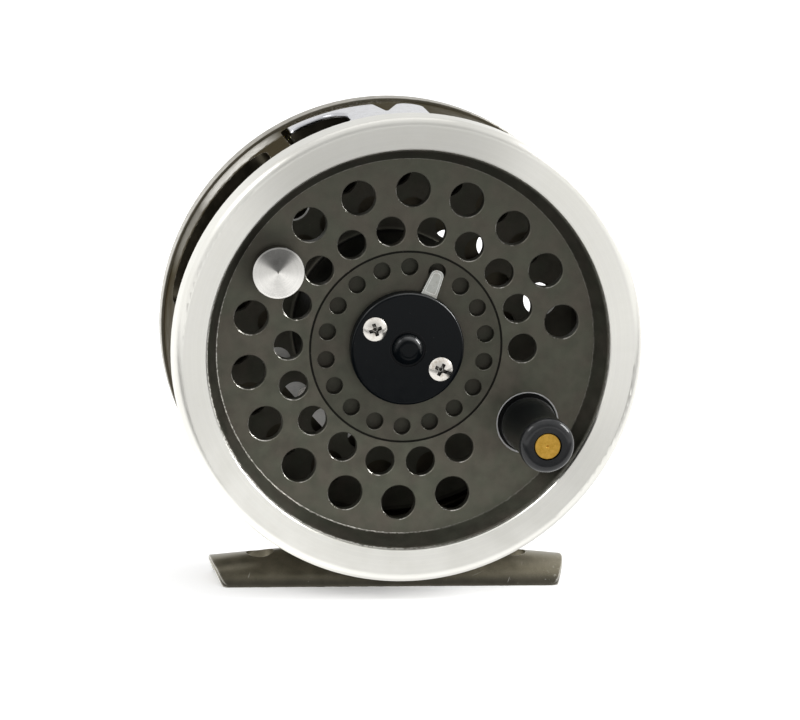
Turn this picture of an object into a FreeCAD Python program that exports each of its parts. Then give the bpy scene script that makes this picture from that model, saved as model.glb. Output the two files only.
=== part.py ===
import FreeCAD, Part
import math
import os

# Fly reel, single action, caged spool with a palming rim and a click check.
# Millimetres. +Z is up, the reel stands on its foot, and -Y is the handle side.
# The origin is on the spindle axis, in the plane of the spool's perforated face.
# Angles are degrees counter-clockwise from +X, seen from the handle side.

os.makedirs("parts", exist_ok=True)

Vec = FreeCAD.Vector
ORIGIN = Vec(0, 0, 0)
SPINDLE_AXIS = Vec(0, 1, 0)

# --- spool: perforated face, palming rim, arbor and rear flange
RIM_RADIUS = 43.0
RIM_FRONT = -4.9
RIM_BACK = 1.2
RIM_BORE = 41.45
FACE_RADIUS = 34.8
LIP_FRONT = -3.4
SILVER_INNER = 37.1
SILVER_FRONT = -4.25
WEB_BACK = 2.0
HUB_WEB_BACK = 3.2
ARBOR_RADIUS = 17.6
ARBOR_BORE = 16.0
REAR_FLANGE_RADIUS = 36.0
REAR_FLANGE_FRONT = 20.8
REAR_FLANGE_BACK = 22.3
HUB_RADIUS = 8.6
HUB_BACK = 18.9
GROOVE_RADIUS = 17.65

# --- perforations: three rings of holes on one pitch
HOLE_PITCH = 20.0
FIRST_HOLE = 9.3
OUTER_RING, OUTER_HOLE = 29.05, 3.17
MIDDLE_RING, MIDDLE_HOLE = 21.6, 2.68
INNER_RING, INNER_HOLE = 14.8, 1.57
INNER_HOLE_DEPTH = 1.6
HOLE_CHAMFER = 0.14

# --- handle and counterweight
HANDLE_ANGLE = 328.4
HANDLE_RING = 27.1
HANDLE_END = -19.5
HANDLE_SEAT = 0.6
HANDLE_SEAT_RADIUS = 5.5
PIN_RADIUS = 1.6
PIN_HEAD_RADIUS = 2.35
WEIGHT_ANGLE = 149.9
WEIGHT_RING = 27.9
WEIGHT_RADIUS = 4.8
WEIGHT_SHANK = 3.0

# --- hub cover and latch
LATCH_ANGLE = FIRST_HOLE + 3 * HOLE_PITCH
COVER_RADIUS = 10.45
COVER_FRONT = -2.0
DOME_RADIUS = 2.9
DOME_FRONT = -3.5
COVER_SCREW_RING = 7.2
COVER_SCREW_ANGLES = (149.1, 329.1)
LATCH_FRONT = -1.15
LATCH_BACK = -0.35
LATCH_TRAVEL = 0.9
SPRING_WIRE = 0.25

# --- spindle and bushes
SPINDLE_RADIUS = 3.0
RUNNING_GAP = 0.04
TIP_RADIUS = 2.0
TIP_FRONT = -1.75
TIP_GROOVE = 1.4
BUSH_RADIUS = 4.0
TAIL_RADIUS = 2.0

# --- frame cage
WALL_RADIUS = 41.3
WALL_BORE = 38.8
RING_RADIUS = 40.9
RING_FRONT = -1.6
BAND_RADIUS = 41.75
BAND_FRONT = 24.8
BAND_BACK = 28.4
PLATE_FRONT = 26.0
PLATE_BACK = 27.8
BOSS_RADIUS = 10.4
BOSS_BACK = 28.6
WINDOW_FRONT = 6.0
WINDOW_BACK = 17.6
WINDOW_CORNER = 4.0
WINDOWS = ((10, 70), (126.5, 172.5), (186, 232), (308, 354))

# --- line guard, a plated cover for the top opening
GUARD_WINDOW = (96.6, 120.6)
GUARD_WINDOW_BACK = 19.8
GUARD_ANGLE = 102.0
GUARD_RADIUS = 41.5
GUARD_BORE = 40.7
GUARD_FRONT = 2.0
GUARD_BACK = 21.8

# --- foot
FOOT_LENGTH = 66.2
FOOT_WIDTH = 13.8
FOOT_MIDDLE = 13.0
FOOT_BOTTOM = -46.5
FOOT_END_CROWN = -42.2
FOOT_MID_CROWN = -40.2
FOOT_MID_HALF = 12.0
FOOT_EDGE = 0.4
FOOT_END_SETBACK = 1.9
FOOT_END_CORNER = 1.7
SADDLE_RADIUS = 7.6
SADDLE_HALF_CHORD = 6.4
FOOT_HOLE = 2.6
FOOT_HOLE_SPACING = 47.4
FOOT_SCREW_SPACING = 13.0

# --- click check, laid out outwards from the spindle along one direction
CHECK_ANGLE = 223.2
GEAR_TEETH = 24
GEAR_TIP = 9.5
GEAR_ROOT = 8.1
GEAR_FRONT = 23.5
GEAR_BACK = 24.9
GEAR_HUB = 4.8
GEAR_HUB_FRONT = 20.0
DOG_RING = 6.6
DOG_RADIUS = 1.0
PAWL_OUT = 14.5
PAWL_POST = 1.2
SPRING_POST = (18.7, 8.5)
CAM_OUT, CAM_SIDE = 19.9, -8.5
CAM_SHAFT = 1.25
CHECK_SCREWS = ((13.2, -9.6), (13.2, 9.6), (20.1, 0.0))
CHECK_PLATE_FRONT = 22.7
CHECK_PLATE_BACK = 23.3
CHECK_PLATE_EDGE = 21.9
KNOB_RADIUS = 5.5
KNOB_FRONT = 28.0
KNOB_BACK = 33.0


def outline(corners):
    """Closed flat wire through the corners. A third number rounds that corner."""
    points = [Vec(corner[0], corner[1], 0) for corner in corners]
    count = len(points)
    arrivals, middles, leavings = [], [], []
    for index, corner in enumerate(corners):
        here = points[index]
        radius = corner[2] if len(corner) > 2 else 0
        before = (points[index - 1] - here).normalize()
        after = (points[(index + 1) % count] - here).normalize()
        half_angle = before.getAngle(after) / 2
        reach = radius / math.tan(half_angle)
        bisector = (before + after).normalize() if radius else before
        centre = here + bisector * (radius / math.sin(half_angle))
        arrivals.append(here + before * reach)
        leavings.append(here + after * reach)
        middles.append(centre - bisector * radius)
    edges = []
    for index in range(count):
        if (arrivals[index] - leavings[index]).Length > 1e-6:
            arc = Part.Arc(arrivals[index], middles[index], leavings[index])
            edges.append(arc.toShape())
        following = arrivals[(index + 1) % count]
        if (following - leavings[index]).Length > 1e-6:
            edges.append(Part.makeLine(leavings[index], following))
    return Part.Wire(edges)


def turned(corners):
    """Solid of revolution about the spindle axis from (radius, y) corners."""
    return Part.Face(outline(corners)).revolve(ORIGIN, SPINDLE_AXIS, 360)


def plate(corners, front, back):
    """Flat piece from (x, z) corners, between two y planes."""
    blank = Part.Face(outline(corners)).extrude(Vec(0, 0, front - back))
    blank.rotate(ORIGIN, Vec(1, 0, 0), 90)
    blank.translate(Vec(0, front, 0))
    return blank


def rod(radius, front, back, x=0.0, z=0.0):
    """Cylinder along Y."""
    return Part.makeCylinder(radius, back - front, Vec(x, front, z), SPINDLE_AXIS)


def around(shape, degrees):
    """Copy of a shape turned about the spindle axis."""
    copy = shape.copy()
    copy.rotate(ORIGIN, Vec(0, -1, 0), degrees)
    return copy


def moved(shape, x=0.0, y=0.0, z=0.0):
    """Copy of a shape shifted in space."""
    copy = shape.copy()
    copy.translate(Vec(x, y, z))
    return copy


def polar(radius, degrees):
    """(x, z) of a point on a circle about the spindle axis."""
    angle = math.radians(degrees)
    return radius * math.cos(angle), radius * math.sin(angle)


def at(shape, radius, degrees):
    """Copy of a shape carried from the spindle axis to a point on a circle."""
    x, z = polar(radius, degrees)
    return moved(shape, x, 0, z)


def drill(radius, depth, chamfer):
    """Cutter for a hole entered from the front face, with a 45 degree chamfer."""
    clear = 0.5
    return turned([(0, -clear), (radius + chamfer + clear, -clear),
                   (radius, chamfer), (radius, depth), (0, depth)])


def cross_recess(length, width, depth, top):
    """Cutter for a cross recess, tapering with depth."""
    arm = Part.makeBox(length, depth, width, Vec(-length / 2, top, -width / 2))
    other = around(arm, 90)
    core = Part.makeCone(width * 0.9, width * 0.3, depth * 1.4, Vec(0, top, 0), SPINDLE_AXIS)
    return arm.fuse([other, core])


def sunk_screw(head, shank, length, slot=True):
    """Countersunk screw along +Y, its flat head at y = 0."""
    land = 0.12
    screw = turned([(0, 0), (head, 0), (head, land), (shank, head - shank + land),
                    (shank, length), (0, length)])
    if slot:
        width, depth = 0.45, 0.45
        screw = screw.cut(Part.makeBox(2.4 * head, depth, width,
                                       Vec(-1.2 * head, 0, -width / 2)))
    return screw


def ring_positions(count, skipped):
    """Indices of a hole ring without the skipped ones."""
    return [index for index in range(count) if index not in skipped]


# ---------------------------------------------------------------- spool

def make_spool():
    """One turned piece: hub, arbor, both flanges and the palming rim."""
    body = turned([
        (BUSH_RADIUS, 0), (FACE_RADIUS, 0),
        (36.7, LIP_FRONT + 0.1, 0.15), (SILVER_INNER, LIP_FRONT),
        (SILVER_INNER, SILVER_FRONT + 0.2), (SILVER_INNER + 0.2, SILVER_FRONT),
        (RIM_RADIUS, RIM_FRONT, 1.4), (RIM_RADIUS, RIM_BACK, 0.3),
        (RIM_BORE, RIM_BACK), (RIM_BORE, -2.9, 0.5), (38.4, -2.9, 0.5),
        (36.2, WEB_BACK), (ARBOR_RADIUS, WEB_BACK, 0.8),
        (ARBOR_RADIUS, REAR_FLANGE_FRONT, 0.8),
        (REAR_FLANGE_RADIUS, REAR_FLANGE_FRONT, 0.5),
        (REAR_FLANGE_RADIUS, REAR_FLANGE_BACK, 0.5),
        (ARBOR_BORE, REAR_FLANGE_BACK), (ARBOR_BORE, HUB_WEB_BACK, 0.8),
        (HUB_RADIUS, HUB_WEB_BACK, 0.8), (HUB_RADIUS, HUB_BACK), (BUSH_RADIUS, HUB_BACK)])

    handle, weight, latch = 16, 7, 3
    outer = ring_positions(18, (weight, handle - 1, handle, handle + 1))
    middle = ring_positions(18, (16, 17))
    inner = ring_positions(18, ())
    through = drill(OUTER_HOLE, REAR_FLANGE_BACK + 1, HOLE_CHAMFER)
    cutters = [at(through, OUTER_RING, FIRST_HOLE + HOLE_PITCH * i) for i in outer]
    through = drill(MIDDLE_HOLE, REAR_FLANGE_BACK + 1, HOLE_CHAMFER)
    half = FIRST_HOLE - HOLE_PITCH / 2
    cutters += [at(through, MIDDLE_RING, half + HOLE_PITCH * i) for i in middle]
    blind = drill(INNER_HOLE, INNER_HOLE_DEPTH, 0.1)
    cutters += [at(blind, INNER_RING, FIRST_HOLE + HOLE_PITCH * i) for i in inner]

    groove_half, groove_depth = 0.2, 0.25
    cutters.append(turned([(GROOVE_RADIUS - groove_half, -1), (GROOVE_RADIUS + groove_half, -1),
                           (GROOVE_RADIUS + groove_half, groove_depth),
                           (GROOVE_RADIUS - groove_half, groove_depth)]))
    seat = drill(HANDLE_SEAT_RADIUS, HANDLE_SEAT, 0.25)
    cutters.append(at(seat, HANDLE_RING, HANDLE_ANGLE))
    cutters.append(at(rod(PIN_RADIUS, -1, WEB_BACK + 1), HANDLE_RING, HANDLE_ANGLE))
    cutters.append(at(rod(WEIGHT_SHANK, -1, WEB_BACK + 1), WEIGHT_RING, WEIGHT_ANGLE))
    for angle in COVER_SCREW_ANGLES:
        cutters.append(at(rod(1.0, -1, 2.9), COVER_SCREW_RING, angle))
    dog_hole = rod(DOG_RADIUS + 0.1, HUB_BACK - 4, HUB_BACK + 1)
    cutters += [at(dog_hole, DOG_RING, CHECK_ANGLE + turn) for turn in (0, 180)]
    return body.cut(cutters)


def make_spool_bushes():
    """Two plain bushes pressed into the ends of the hub."""
    bore = SPINDLE_RADIUS + RUNNING_GAP
    length = 4.8
    fronts = (0.2, HUB_BACK - length - 0.2)
    return Part.makeCompound([rod(BUSH_RADIUS, y, y + length).cut(rod(bore, y - 1, y + length + 1))
                              for y in fronts])


def make_counterweight():
    """Turned weight with a dished conical face, clenched behind the web."""
    clench = 0.5
    body = turned([
        (0, COVER_FRONT + 0.45), (WEIGHT_RADIUS - 0.4, COVER_FRONT),
        (WEIGHT_RADIUS - 0.1, COVER_FRONT), (WEIGHT_RADIUS, COVER_FRONT + 0.2),
        (WEIGHT_RADIUS, 0), (WEIGHT_SHANK, 0), (WEIGHT_SHANK, WEB_BACK),
        (WEIGHT_SHANK + 0.6, WEB_BACK), (WEIGHT_SHANK, WEB_BACK + clench),
        (0, WEB_BACK + clench)])
    dimple = turned([(0, COVER_FRONT + 0.3), (0.25, COVER_FRONT + 0.3), (0, COVER_FRONT + 0.75)])
    return at(body.cut(dimple), WEIGHT_RING, WEIGHT_ANGLE)


# ---------------------------------------------------------------- hub cover and latch

def latch_channel():
    """Space under the cover for the latch, along +X."""
    front = LATCH_FRONT - 0.2
    inside = plate([(-7.4, -3.3, 1), (8.5, -3.3), (8.5, 3.3), (-7.4, 3.3, 1)], front, 0.5)
    mouth = plate([(8, -1.75), (11.5, -1.75), (11.5, 1.75), (8, 1.75)], front + 0.05, 0.5)
    return inside.fuse(mouth)


def make_hub_cover():
    """Moulded cap with a domed centre, hollow for the latch and the spindle tip."""
    cover = turned([
        (0, DOME_FRONT), (DOME_RADIUS, DOME_FRONT, 1.75), (DOME_RADIUS, COVER_FRONT + 0.3),
        (DOME_RADIUS + 0.45, COVER_FRONT + 0.3), (DOME_RADIUS + 0.45, COVER_FRONT),
        (COVER_RADIUS, COVER_FRONT, 0.6), (COVER_RADIUS, 0), (0, 0)])
    tip_pocket = rod(TIP_RADIUS + 0.25, TIP_FRONT - 0.35, 0.5)
    holes = [at(rod(1.05, DOME_FRONT, 1), COVER_SCREW_RING, a) for a in COVER_SCREW_ANGLES]
    return cover.cut([tip_pocket, around(latch_channel(), LATCH_ANGLE)] + holes)


def make_hub_cover_screws():
    """Two raised-head screws with cross recesses."""
    head, rise, lift = 2.2, 0.75, 0.15
    ball = (head ** 2 + rise ** 2) / (2 * rise)
    top = COVER_FRONT - lift - rise
    cap = Part.makeSphere(ball, Vec(0, top + ball, 0)).common(rod(head, top, COVER_FRONT))
    screw = cap.fuse(rod(1.0, COVER_FRONT, 2.8)).removeSplitter()
    screw = screw.cut(cross_recess(2.4, 0.68, 0.85, top))
    placed = []
    for angle, tilt in zip(COVER_SCREW_ANGLES, (20, 65)):
        placed.append(at(around(screw, tilt), COVER_SCREW_RING, angle))
    return Part.makeCompound(placed)


def make_latch_lever():
    """Sliding tongue: rounded thumb end outside, wedge nose between the spring legs."""
    outside = [(8.4, -1.62), (15.3, -1.12, 1.08), (15.3, 1.12, 1.08), (8.4, 1.62)]
    inside = [(8.3, 2.8), (6.5, 2.8), (5.9, 1.1), (3.2, 0.5), (3.2, -0.5), (5.9, -1.1),
              (6.5, -2.8), (8.3, -2.8)]
    lever = plate(outside + inside, LATCH_FRONT, LATCH_BACK)
    dish = plate([(10.9, -1.0, 0.2), (14.8, -0.75, 0.7), (14.8, 0.75, 0.7), (10.9, 1.0, 0.2)],
                 LATCH_FRONT - 1, LATCH_FRONT + 0.14)
    return around(lever.cut(dish), LATCH_ANGLE)


def make_latch_spring():
    """Hairpin wire whose two legs lie in the groove of the spindle tip."""
    side = TIP_GROOVE + SPRING_WIRE + 0.02
    depth = (LATCH_FRONT + LATCH_BACK) / 2
    left, right = Vec(5.5, depth, side), Vec(5.5, depth, -side)
    bend_left, bend_right = Vec(-5.0, depth, side), Vec(-5.0, depth, -side)
    bend = Part.Arc(bend_left, Vec(-5.0 - side, depth, 0), bend_right).toShape()
    path = Part.Wire([Part.makeLine(left, bend_left), bend, Part.makeLine(bend_right, right)])
    section = Part.Wire(Part.makeCircle(SPRING_WIRE, left, Vec(1, 0, 0)))
    return around(path.makePipeShell([section], True, True), LATCH_ANGLE)


# ---------------------------------------------------------------- handle

def make_handle_pin():
    """Brass pin, riveted behind the web, its head flush in the knob's end."""
    pin = turned([
        (0, HANDLE_END + 0.45), (0.3, HANDLE_END + 0.15), (PIN_HEAD_RADIUS, HANDLE_END + 0.15, 0.15),
        (PIN_HEAD_RADIUS, HANDLE_END + 1.5), (PIN_RADIUS, HANDLE_END + 1.5),
        (PIN_RADIUS, WEB_BACK), (PIN_RADIUS + 0.8, WEB_BACK),
        (PIN_RADIUS + 0.2, WEB_BACK + 0.6), (0, WEB_BACK + 0.6)])
    return at(pin, HANDLE_RING, HANDLE_ANGLE)


def make_handle_washer():
    """Thin washer in the countersunk seat."""
    washer = rod(3.8, HANDLE_SEAT - 0.4, HANDLE_SEAT).cut(rod(PIN_RADIUS + 0.1, -1, 1))
    return at(washer, HANDLE_RING, HANDLE_ANGLE)


def make_handle_knob():
    """Waisted grip with a rounded lip, free to turn on the pin."""
    bore, socket = PIN_RADIUS + 0.05, PIN_HEAD_RADIUS + 0.2
    front, back, counterbore = HANDLE_END, HANDLE_SEAT - 0.5, HANDLE_END + 1.6
    heel, bead, waist, lip, brow = 4.4, 5.1, 4.7, 5.02, 3.5
    bead_y, waist_y, lip_y = -1.9, -10.0, front + 1.45

    def line(start, end):
        return Part.makeLine(Vec(*start, 0), Vec(*end, 0))

    def arc(start, middle, end):
        return Part.Arc(Vec(*start, 0), Vec(*middle, 0), Vec(*end, 0)).toShape()

    edges = [
        line((bore, back), (heel, back)),
        arc((heel, back), (bead - 0.17, bead_y + 1.2), (bead, bead_y)),
        arc((bead, bead_y), (waist, waist_y), (lip, lip_y)),
        arc((lip, lip_y), (lip - 0.42, front + 0.42), (brow, front)),
        line((brow, front), (socket, front)),
        line((socket, front), (socket, counterbore)),
        line((socket, counterbore), (bore, counterbore)),
        line((bore, counterbore), (bore, back))]
    knob = Part.Face(Part.Wire(edges)).revolve(ORIGIN, SPINDLE_AXIS, 360)
    return at(knob, HANDLE_RING, HANDLE_ANGLE)


# ---------------------------------------------------------------- frame

def wall_window(first, last, front, back, corner):
    """Cutter for an opening in the cage wall between two angles."""
    near, far = WALL_BORE - 3, BAND_RADIUS + 3
    section = Part.makePolygon([Vec(near, front, 0), Vec(far, front, 0), Vec(far, back, 0),
                                Vec(near, back, 0), Vec(near, front, 0)])
    block = Part.Face(section).revolve(ORIGIN, Vec(0, -1, 0), last - first)
    radial = [edge for edge in block.Edges
              if isinstance(edge.Curve, Part.Line) and abs(edge.Length - (far - near)) < 1e-3]
    return around(block.makeFillet(corner, radial), first)


def guard_blank():
    """Outline of the line guard: a plate with a rounded ear, cut to the wall's curve."""
    low, high = 30, 46
    left_end, shoulder, notch, ear_left, right_end = -13.2, 4.3, 5.7, 9.0, 13.2
    notch_front, ear_back = 11.6, 20.2
    face = Part.Face(outline([
        (left_end, GUARD_FRONT, 1), (right_end, GUARD_FRONT, 1), (right_end, ear_back, 2.4),
        (ear_left, ear_back, 2.2), (notch, notch_front, 0.3), (shoulder, GUARD_BACK - 1.6, 0.7),
        (left_end, GUARD_BACK, 1.2)]))
    block = moved(face.extrude(Vec(0, 0, high - low)), 0, 0, low)
    shell = rod(GUARD_RADIUS, 0, BAND_FRONT).cut(rod(GUARD_BORE, -1, BAND_FRONT + 1))
    return block.common(shell)


def guard_screws(slot):
    """Three countersunk screws through the guard's front edge into the front ring."""
    screw = sunk_screw(1.5, 0.8, 2.4, slot)
    screw.rotate(ORIGIN, Vec(1, 0, 0), -90)
    screw = moved(screw, 0, 0, GUARD_RADIUS)
    placed = []
    for angle in (-15.5, 4.0, 16.5):
        placed.append(around(moved(screw, 0, 4.0, 0), angle))
    return placed


def make_line_guard():
    """Plated guard with a rounded slot that the line leaves through."""
    left, right, front, back, lip = -12.0, -1.4, 6.2, 19.4, 0.5
    slot_face = Part.Face(outline([(left, front, 2.2), (right, front, 5.0), (right, back, 5.0),
                                   (left, back, 2.2)]))
    slot = moved(slot_face.extrude(Vec(0, 0, 16)), 0, 0, 30)
    guard = guard_blank().cut(slot)
    outer = [edge for edge in guard.Edges if is_slot_mouth(edge, left, right, front, back)]
    guard = guard.makeFillet(lip, outer).cut(guard_screws(slot=False))
    return around(guard.removeSplitter(), GUARD_ANGLE - 90)


def is_slot_mouth(edge, left, right, front, back):
    """Whether an edge of the guard is on its outer surface and on the slot's outline."""
    slack = 0.01
    box = edge.BoundBox
    inside = (box.XMin > left - slack and box.XMax < right + slack
              and box.YMin > front - slack and box.YMax < back + slack)
    middle = edge.valueAt((edge.FirstParameter + edge.LastParameter) / 2)
    return inside and abs(math.hypot(middle.x, middle.z) - GUARD_RADIUS) < slack


def make_line_guard_screws():
    screws = Part.makeCompound(guard_screws(slot=True))
    return around(screws, GUARD_ANGLE - 90)


def vent_holes():
    """Lightening holes of the back plate: three sizes that step inwards, three times."""
    holes = []
    trio = ((29.1, 7.1, 3.3), (24.4, 34.8, 2.8), (18.4, 52.5, 2.15))
    for group in (0, 120, 300):
        for radius, angle, hole in trio:
            bevel = Part.makeCone(hole, hole + 0.5, 0.5, Vec(0, PLATE_BACK - 0.25, 0),
                                  SPINDLE_AXIS)
            cutter = rod(hole, PLATE_FRONT - 1, PLATE_BACK + 1).fuse(bevel)
            holes.append(at(cutter, radius, angle + group))
    return holes


def make_frame_cage():
    """Back plate and windowed wall in one casting."""
    cup = turned([
        (WALL_BORE, RING_FRONT), (RING_RADIUS, RING_FRONT, 0.4), (RING_RADIUS, 1.6),
        (WALL_RADIUS, 1.9), (WALL_RADIUS, BAND_FRONT - 0.6), (WALL_RADIUS - 0.3, BAND_FRONT - 0.3),
        (BAND_RADIUS, BAND_FRONT, 0.15), (BAND_RADIUS, BAND_BACK, 1.0),
        (38.4, BAND_BACK, 0.3), (37.9, PLATE_BACK), (BOSS_RADIUS + 0.5, PLATE_BACK, 0.3),
        (BOSS_RADIUS, BOSS_BACK, 0.5), (TAIL_RADIUS, BOSS_BACK), (TAIL_RADIUS, PLATE_FRONT),
        (WALL_BORE, PLATE_FRONT, 1.0)])
    bosses = [rod(1.8, CHECK_PLATE_BACK, PLATE_FRONT + 0.5, x, z) for x, z in CHECK_SCREWS]
    cup = cup.fuse([around(boss, CHECK_ANGLE) for boss in bosses])

    cutters = [wall_window(first, last, WINDOW_FRONT, WINDOW_BACK, WINDOW_CORNER)
               for first, last in WINDOWS]
    cutters.append(wall_window(*GUARD_WINDOW, WINDOW_FRONT, GUARD_WINDOW_BACK, 3.0))
    cutters.append(around(guard_blank(), GUARD_ANGLE - 90))
    cutters += [around(screw, GUARD_ANGLE - 90) for screw in guard_screws(slot=False)]
    cutters += vent_holes()
    cutters += foot_screws(slot=False)
    cutters += [around(hole, CHECK_ANGLE) for hole in check_plate_holes()]
    return cup.cut(cutters).removeSplitter()


def foot_section(x, crown):
    """Cross-section of the foot: domed from edge to edge, with a hollow saddle below."""
    half = FOOT_WIDTH / 2
    edge = FOOT_BOTTOM + FOOT_EDGE
    saddle_rise = SADDLE_RADIUS - math.sqrt(SADDLE_RADIUS ** 2 - SADDLE_HALF_CHORD ** 2)

    def point(across, height):
        return Vec(x, FOOT_MIDDLE + across, height)

    top = Part.Arc(point(-half, edge), point(0, crown), point(half, edge)).toShape()
    under = Part.Arc(point(SADDLE_HALF_CHORD, FOOT_BOTTOM),
                     point(0, FOOT_BOTTOM + saddle_rise),
                     point(-SADDLE_HALF_CHORD, FOOT_BOTTOM)).toShape()
    return Part.Wire([
        top, Part.makeLine(point(half, edge), point(half, FOOT_BOTTOM)),
        Part.makeLine(point(half, FOOT_BOTTOM), point(SADDLE_HALF_CHORD, FOOT_BOTTOM)), under,
        Part.makeLine(point(-SADDLE_HALF_CHORD, FOOT_BOTTOM), point(-half, FOOT_BOTTOM)),
        Part.makeLine(point(-half, FOOT_BOTTOM), point(-half, edge))])


def foot_screws(slot):
    """Two countersunk screws, up through the foot into the cage wall."""
    screw = sunk_screw(2.4, 1.3, 4.3, slot)
    screw.rotate(ORIGIN, Vec(1, 0, 0), 90)
    head_height = -42.75
    return [moved(screw, side * FOOT_SCREW_SPACING / 2, FOOT_MIDDLE, head_height)
            for side in (-1, 1)]


def make_reel_foot():
    """Saddle foot with rounded ends, its middle fitted to the cage wall."""
    half = FOOT_LENGTH / 2
    stations = ((-half, FOOT_END_CROWN), (-FOOT_MID_HALF, FOOT_MID_CROWN),
                (FOOT_MID_HALF, FOOT_MID_CROWN), (half, FOOT_END_CROWN))
    body = Part.makeLoft([foot_section(x, crown) for x, crown in stations], True, True)
    side = FOOT_WIDTH / 2
    front, back = FOOT_MIDDLE - side, FOOT_MIDDLE + side
    corner = half - FOOT_END_SETBACK
    rim = Part.Wire([
        Part.makeLine(Vec(-corner, front, 0), Vec(corner, front, 0)),
        Part.Arc(Vec(corner, front, 0), Vec(half, FOOT_MIDDLE, 0), Vec(corner, back, 0)).toShape(),
        Part.makeLine(Vec(corner, back, 0), Vec(-corner, back, 0)),
        Part.Arc(Vec(-corner, back, 0), Vec(-half, FOOT_MIDDLE, 0),
                 Vec(-corner, front, 0)).toShape()])
    plan = moved(Part.Face(rim).extrude(Vec(0, 0, 12)), 0, 0, FOOT_BOTTOM - 2)
    upright = [edge for edge in plan.Edges if abs(edge.BoundBox.ZLength - 12) < 0.01]
    plan = plan.makeFillet(FOOT_END_CORNER, upright)
    holes = []
    for x in (-FOOT_HOLE_SPACING / 2, FOOT_HOLE_SPACING / 2):
        holes.append(Part.makeCylinder(FOOT_HOLE, 12, Vec(x, FOOT_MIDDLE, FOOT_BOTTOM - 2)))
    trim = [rod(WALL_RADIUS, -5, 40)] + holes + foot_screws(slot=False)
    head_clearance = [Part.makeCylinder(2.4, 3.6, Vec(screw.BoundBox.Center.x, FOOT_MIDDLE,
                                                      FOOT_BOTTOM))
                      for screw in foot_screws(slot=False)]
    return body.common(plan).cut(trim + head_clearance)


def make_foot_screws():
    return Part.makeCompound(foot_screws(slot=True))


# ---------------------------------------------------------------- spindle and click check

def make_spindle():
    """Fixed axle: flange and threaded tail at the back, grooved tip at the front."""
    flange, groove_front, groove_back = 4.5, -1.05, -0.45
    return turned([
        (0, TIP_FRONT), (TIP_RADIUS, TIP_FRONT, 0.4), (TIP_RADIUS, groove_front),
        (TIP_GROOVE, groove_front), (TIP_GROOVE, groove_back), (TIP_RADIUS, groove_back),
        (TIP_RADIUS, 0.0), (SPINDLE_RADIUS, 0.3), (SPINDLE_RADIUS, 19.2), (2.5, 19.2),
        (2.5, 19.8), (SPINDLE_RADIUS, 19.8), (SPINDLE_RADIUS, 25.2), (flange, 25.2),
        (flange, PLATE_FRONT), (TAIL_RADIUS, PLATE_FRONT), (TAIL_RADIUS, 31.0, 0.4), (0, 31.0)])


def make_spindle_nut():
    """Thin hexagon nut on the spindle's tail."""
    across_corners = 7.0 / math.cos(math.radians(30)) / 2
    corners = [polar(across_corners, 60 * side) for side in range(6)]
    nut = plate(corners, BOSS_BACK, BOSS_BACK + 2.0)
    ball = turned([(0, BOSS_BACK - 1), (6.2, BOSS_BACK - 1), (across_corners - 0.4, BOSS_BACK + 2.0),
                   (0, BOSS_BACK + 2.0)])
    return nut.common(ball).cut(rod(TAIL_RADIUS, BOSS_BACK - 1, BOSS_BACK + 3))


def make_spindle_circlip():
    """Open spring ring in the spindle's groove, holding the gear back."""
    ring = rod(4.1, 19.25, 19.75).cut(rod(2.52, 19, 20))
    return ring.cut(Part.makeBox(6, 2, 2.4, Vec(0, 18.5, -1.2)))


def make_thrust_washer():
    return rod(4.4, GEAR_BACK, 25.2).cut(rod(SPINDLE_RADIUS + RUNNING_GAP, 24, 26))


def make_click_gear():
    """Click wheel on a sleeve, turning on the spindle."""
    pitch = 360 / GEAR_TEETH
    corners = []
    for tooth in range(GEAR_TEETH):
        middle = CHECK_ANGLE + (tooth + 0.5) * pitch
        for radius, offset in ((GEAR_ROOT, -0.32), (GEAR_TIP, -0.1), (GEAR_TIP, 0.1),
                               (GEAR_ROOT, 0.32)):
            corners.append(polar(radius, middle + offset * pitch))
    wheel = plate(corners, GEAR_FRONT, GEAR_BACK)
    gear = wheel.fuse(rod(GEAR_HUB, GEAR_HUB_FRONT, GEAR_FRONT + 0.5)).removeSplitter()
    bores = [rod(SPINDLE_RADIUS + RUNNING_GAP, GEAR_HUB_FRONT - 1, GEAR_BACK + 1)]
    for turn in (0, 180):
        bores.append(at(rod(DOG_RADIUS, GEAR_FRONT - 1, GEAR_BACK + 1), DOG_RING,
                        CHECK_ANGLE + turn))
    return gear.cut(bores)


def make_drive_pins():
    """Two pins pressed in the click gear, entering the holes in the spool's hub."""
    pin = turned([(0, HUB_BACK - 3), (DOG_RADIUS, HUB_BACK - 3, 0.4), (DOG_RADIUS, GEAR_BACK),
                  (0, GEAR_BACK)])
    return Part.makeCompound([at(pin, DOG_RING, CHECK_ANGLE + turn) for turn in (0, 180)])


def check_plate_holes():
    """Holes in the back plate for the check's screws, posts and regulator shaft."""
    holes = check_screws(slot=False)
    holes.append(rod(PAWL_POST, PLATE_FRONT - 1, PLATE_BACK - 0.5, PAWL_OUT, 0))
    holes.append(rod(PAWL_POST, PLATE_FRONT - 1, PLATE_BACK - 0.5, *SPRING_POST))
    holes.append(rod(CAM_SHAFT + 0.05, PLATE_FRONT - 1, PLATE_BACK + 1, CAM_OUT, CAM_SIDE))
    return holes


def check_screws(slot):
    screw = sunk_screw(1.35, 0.8, 3.8, slot)
    return [moved(screw, x, CHECK_PLATE_FRONT, z) for x, z in CHECK_SCREWS]


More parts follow.
